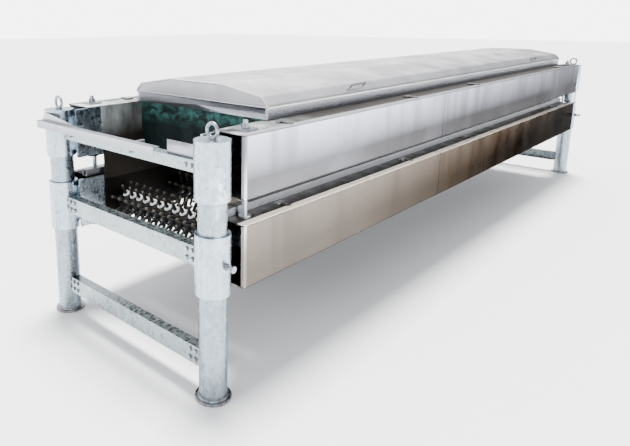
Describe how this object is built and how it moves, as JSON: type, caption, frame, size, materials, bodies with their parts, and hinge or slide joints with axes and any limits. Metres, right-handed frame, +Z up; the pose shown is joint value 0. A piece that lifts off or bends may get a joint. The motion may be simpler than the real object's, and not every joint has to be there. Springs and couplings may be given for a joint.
{
  "type": "poultry plucking machine",
  "caption": "Long two-box poultry plucker: rows of rubber-fingered rollers above and below a bird path, on four columns with height-setting sleeves, clip-on covers and a hinged domed lid",
  "frame": {"origin": "on the floor, at the centre of the whole machine's bounding box", "axes": "+X along the machine from the entry end to the far end, +Y to the left side, +Z up"},
  "size_m": [4.7706, 1.21, 1.13],
  "materials": {
    "galvanised": "hot-dip galvanised, spangled, satin",
    "stainless": "brushed stainless sheet",
    "zinc_bolts": "zinc plated fasteners",
    "clip_steel": "stainless lever clips",
    "cast_housing": "painted cast bearing housing",
    "belt_rubber": "fabric-backed belt",
    "motor_paint": "machine enamel",
    "curtain_rubber": "wet-looking rubber sheet",
    "finger_rubber": "natural rubber fingers on a steel drum"
  },
  "bodies": {
    "frame": {"column_near_right": "galvanised", "column_near_left": "galvanised", "column_far_right": "galvanised", "column_far_left": "galvanised", "base_beams": "galvanised", "frame_bolts": "zinc_bolts"},
    "lower_box": {"lower_sleeves": "galvanised", "lower_fasteners": "zinc_bolts", "mid_beams": "galvanised", "lower_walls": "stainless", "lower_clips": "clip_steel", "side_rails": "galvanised", "lower_bearings": "cast_housing", "lower_belts": "belt_rubber", "lower_gearmotor": "motor_paint", "spindles": "zinc_bolts"},
    "upper_box": {"upper_sleeves": "galvanised", "upper_fasteners": "zinc_bolts", "top_beams": "galvanised", "upper_walls": "stainless", "upper_clips": "clip_steel", "upper_bearings": "cast_housing", "upper_belts": "belt_rubber", "upper_gearmotor": "motor_paint", "lid_curb": "stainless", "curtain": "curtain_rubber", "entry_guides": "galvanised"},
    "lid": {"lid_shell": "stainless", "lid_fittings": "clip_steel"},
    "lower_cover_near_right": {"lower_cover_near_right": "stainless"},
    "lower_cover_near_left": {"lower_cover_near_left": "stainless"},
    "lower_cover_far_right": {"lower_cover_far_right": "stainless"},
    "lower_cover_far_left": {"lower_cover_far_left": "stainless"},
    "upper_cover_near_right": {"upper_cover_near_right": "stainless"},
    "upper_cover_near_left": {"upper_cover_near_left": "stainless"},
    "upper_cover_far_right": {"upper_cover_far_right": "stainless"},
    "upper_cover_far_left": {"upper_cover_far_left": "stainless"},
    "lower_roller_01": {"lower_roller_01": "finger_rubber"},
    "lower_roller_02": {"lower_roller_02": "finger_rubber"},
    "lower_roller_03": {"lower_roller_03": "finger_rubber"},
    "lower_roller_04": {"lower_roller_04": "finger_rubber"},
    "lower_roller_05": {"lower_roller_05": "finger_rubber"},
    "lower_roller_06": {"lower_roller_06": "finger_rubber"},
    "lower_roller_07": {"lower_roller_07": "finger_rubber"},
    "lower_roller_08": {"lower_roller_08": "finger_rubber"},
    "lower_roller_09": {"lower_roller_09": "finger_rubber"},
    "lower_roller_10": {"lower_roller_10": "finger_rubber"},
    "lower_roller_11": {"lower_roller_11": "finger_rubber"},
    "lower_roller_12": {"lower_roller_12": "finger_rubber"},
    "upper_roller_01": {"upper_roller_01": "finger_rubber"},
    "upper_roller_02": {"upper_roller_02": "finger_rubber"},
    "upper_roller_03": {"upper_roller_03": "finger_rubber"},
    "upper_roller_04": {"upper_roller_04": "finger_rubber"},
    "upper_roller_05": {"upper_roller_05": "finger_rubber"},
    "upper_roller_06": {"upper_roller_06": "finger_rubber"},
    "upper_roller_07": {"upper_roller_07": "finger_rubber"},
    "upper_roller_08": {"upper_roller_08": "finger_rubber"},
    "upper_roller_09": {"upper_roller_09": "finger_rubber"},
    "upper_roller_10": {"upper_roller_10": "finger_rubber"},
    "upper_roller_11": {"upper_roller_11": "finger_rubber"}
  },
  "joints": [
    {"name": "lower_box_height", "type": "slide", "parent": "frame", "child": "lower_box", "axis": [0, 0, 1], "range_m": [-0.06, 0.02]},
    {"name": "upper_box_height", "type": "slide", "parent": "lower_box", "child": "upper_box", "axis": [0, 0, 1], "range_m": [-0.04, 0.03]},
    {"name": "lid_hinge", "type": "hinge", "parent": "upper_box", "child": "lid", "pos_m": [0, 0.436, 1.049], "axis": [-1, 0, 0], "range_deg": [0, 95]},
    {"name": "lower_cover_near_right_draw", "type": "slide", "parent": "lower_box", "child": "lower_cover_near_right", "axis": [0, -1, 0], "range_m": [0, 0.12]},
    {"name": "lower_cover_near_left_draw", "type": "slide", "parent": "lower_box", "child": "lower_cover_near_left", "axis": [0, 1, 0], "range_m": [0, 0.12]},
    {"name": "lower_cover_far_right_draw", "type": "slide", "parent": "lower_box", "child": "lower_cover_far_right", "axis": [0, -1, 0], "range_m": [0, 0.12]},
    {"name": "lower_cover_far_left_draw", "type": "slide", "parent": "lower_box", "child": "lower_cover_far_left", "axis": [0, 1, 0], "range_m": [0, 0.12]},
    {"name": "upper_cover_near_right_draw", "type": "slide", "parent": "upper_box", "child": "upper_cover_near_right", "axis": [0, -1, 0], "range_m": [0, 0.12]},
    {"name": "upper_cover_near_left_draw", "type": "slide", "parent": "upper_box", "child": "upper_cover_near_left", "axis": [0, 1, 0], "range_m": [0, 0.12]},
    {"name": "upper_cover_far_right_draw", "type": "slide", "parent": "upper_box", "child": "upper_cover_far_right", "axis": [0, -1, 0], "range_m": [0, 0.12]},
    {"name": "upper_cover_far_left_draw", "type": "slide", "parent": "upper_box", "child": "upper_cover_far_left", "axis": [0, 1, 0], "range_m": [0, 0.12]},
    {"name": "lower_roller_01_spin", "type": "hinge", "parent": "lower_box", "child": "lower_roller_01", "pos_m": [-2.01525, 0, 0.522], "axis": [0, 1, 0], "continuous": true},
    {"name": "lower_roller_02_spin", "type": "hinge", "parent": "lower_box", "child": "lower_roller_02", "pos_m": [-1.64625, 0, 0.522], "axis": [0, 1, 0], "continuous": true},
    {"name": "lower_roller_03_spin", "type": "hinge", "parent": "lower_box", "child": "lower_roller_03", "pos_m": [-1.27725, 0, 0.522], "axis": [0, 1, 0], "continuous": true},
    {"name": "lower_roller_04_spin", "type": "hinge", "parent": "lower_box", "child": "lower_roller_04", "pos_m": [-0.90825, 0, 0.522], "axis": [0, 1, 0], "continuous": true},
    {"name": "lower_roller_05_spin", "type": "hinge", "parent": "lower_box", "child": "lower_roller_05", "pos_m": [-0.53925, 0, 0.522], "axis": [0, 1, 0], "continuous": true},
    {"name": "lower_roller_06_spin", "type": "hinge", "parent": "lower_box", "child": "lower_roller_06", "pos_m": [-0.17025, 0, 0.522], "axis": [0, 1, 0], "continuous": true},
    {"name": "lower_roller_07_spin", "type": "hinge", "parent": "lower_box", "child": "lower_roller_07", "pos_m": [0.19875, 0, 0.522], "axis": [0, 1, 0], "continuous": true},
    {"name": "lower_roller_08_spin", "type": "hinge", "parent": "lower_box", "child": "lower_roller_08", "pos_m": [0.56775, 0, 0.522], "axis": [0, 1, 0], "continuous": true},
    {"name": "lower_roller_09_spin", "type": "hinge", "parent": "lower_box", "child": "lower_roller_09", "pos_m": [0.93675, 0, 0.522], "axis": [0, 1, 0], "continuous": true},
    {"name": "lower_roller_10_spin", "type": "hinge", "parent": "lower_box", "child": "lower_roller_10", "pos_m": [1.30575, 0, 0.522], "axis": [0, 1, 0], "continuous": true},
    {"name": "lower_roller_11_spin", "type": "hinge", "parent": "lower_box", "child": "lower_roller_11", "pos_m": [1.67475, 0, 0.522], "axis": [0, 1, 0], "continuous": true},
    {"name": "lower_roller_12_spin", "type": "hinge", "parent": "lower_box", "child": "lower_roller_12", "pos_m": [2.04375, 0, 0.522], "axis": [0, 1, 0], "continuous": true},
    {"name": "upper_roller_01_spin", "type": "hinge", "parent": "upper_box", "child": "upper_roller_01", "pos_m": [-1.72525, 0, 0.905], "axis": [0, 1, 0], "continuous": true},
    {"name": "upper_roller_02_spin", "type": "hinge", "parent": "upper_box", "child": "upper_roller_02", "pos_m": [-1.35625, 0, 0.905], "axis": [0, 1, 0], "continuous": true},
    {"name": "upper_roller_03_spin", "type": "hinge", "parent": "upper_box", "child": "upper_roller_03", "pos_m": [-0.98725, 0, 0.905], "axis": [0, 1, 0], "continuous": true},
    {"name": "upper_roller_04_spin", "type": "hinge", "parent": "upper_box", "child": "upper_roller_04", "pos_m": [-0.61825, 0, 0.905], "axis": [0, 1, 0], "continuous": true},
    {"name": "upper_roller_05_spin", "type": "hinge", "parent": "upper_box", "child": "upper_roller_05", "pos_m": [-0.24925, 0, 0.905], "axis": [0, 1, 0], "continuous": true},
    {"name": "upper_roller_06_spin", "type": "hinge", "parent": "upper_box", "child": "upper_roller_06", "pos_m": [0.11975, 0, 0.905], "axis": [0, 1, 0], "continuous": true},
    {"name": "upper_roller_07_spin", "type": "hinge", "parent": "upper_box", "child": "upper_roller_07", "pos_m": [0.48875, 0, 0.905], "axis": [0, 1, 0], "continuous": true},
    {"name": "upper_roller_08_spin", "type": "hinge", "parent": "upper_box", "child": "upper_roller_08", "pos_m": [0.85775, 0, 0.905], "axis": [0, 1, 0], "continuous": true},
    {"name": "upper_roller_09_spin", "type": "hinge", "parent": "upper_box", "child": "upper_roller_09", "pos_m": [1.22675, 0, 0.905], "axis": [0, 1, 0], "continuous": true},
    {"name": "upper_roller_10_spin", "type": "hinge", "parent": "upper_box", "child": "upper_roller_10", "pos_m": [1.59575, 0, 0.905], "axis": [0, 1, 0], "continuous": true},
    {"name": "upper_roller_11_spin", "type": "hinge", "parent": "upper_box", "child": "upper_roller_11", "pos_m": [1.96475, 0, 0.905], "axis": [0, 1, 0], "continuous": true}
  ],
  "couplings": [
    {"joint": "lower_roller_02_spin", "follows": "lower_roller_01_spin", "ratio": 1},
    {"joint": "lower_roller_03_spin", "follows": "lower_roller_01_spin", "ratio": 1},
    {"joint": "lower_roller_04_spin", "follows": "lower_roller_01_spin", "ratio": 1},
    {"joint": "lower_roller_05_spin", "follows": "lower_roller_01_spin", "ratio": 1},
    {"joint": "lower_roller_06_spin", "follows": "lower_roller_01_spin", "ratio": 1},
    {"joint": "lower_roller_07_spin", "follows": "lower_roller_01_spin", "ratio": 1},
    {"joint": "lower_roller_08_spin", "follows": "lower_roller_01_spin", "ratio": 1},
    {"joint": "lower_roller_09_spin", "follows": "lower_roller_01_spin", "ratio": 1},
    {"joint": "lower_roller_10_spin", "follows": "lower_roller_01_spin", "ratio": 1},
    {"joint": "lower_roller_11_spin", "follows": "lower_roller_01_spin", "ratio": 1},
    {"joint": "lower_roller_12_spin", "follows": "lower_roller_01_spin", "ratio": 1},
    {"joint": "upper_roller_02_spin", "follows": "upper_roller_01_spin", "ratio": 1},
    {"joint": "upper_roller_03_spin", "follows": "upper_roller_01_spin", "ratio": 1},
    {"joint": "upper_roller_04_spin", "follows": "upper_roller_01_spin", "ratio": 1},
    {"joint": "upper_roller_05_spin", "follows": "upper_roller_01_spin", "ratio": 1},
    {"joint": "upper_roller_06_spin", "follows": "upper_roller_01_spin", "ratio": 1},
    {"joint": "upper_roller_07_spin", "follows": "upper_roller_01_spin", "ratio": 1},
    {"joint": "upper_roller_08_spin", "follows": "upper_roller_01_spin", "ratio": 1},
    {"joint": "upper_roller_09_spin", "follows": "upper_roller_01_spin", "ratio": 1},
    {"joint": "upper_roller_10_spin", "follows": "upper_roller_01_spin", "ratio": 1},
    {"joint": "upper_roller_11_spin", "follows": "upper_roller_01_spin", "ratio": 1}
  ]
}
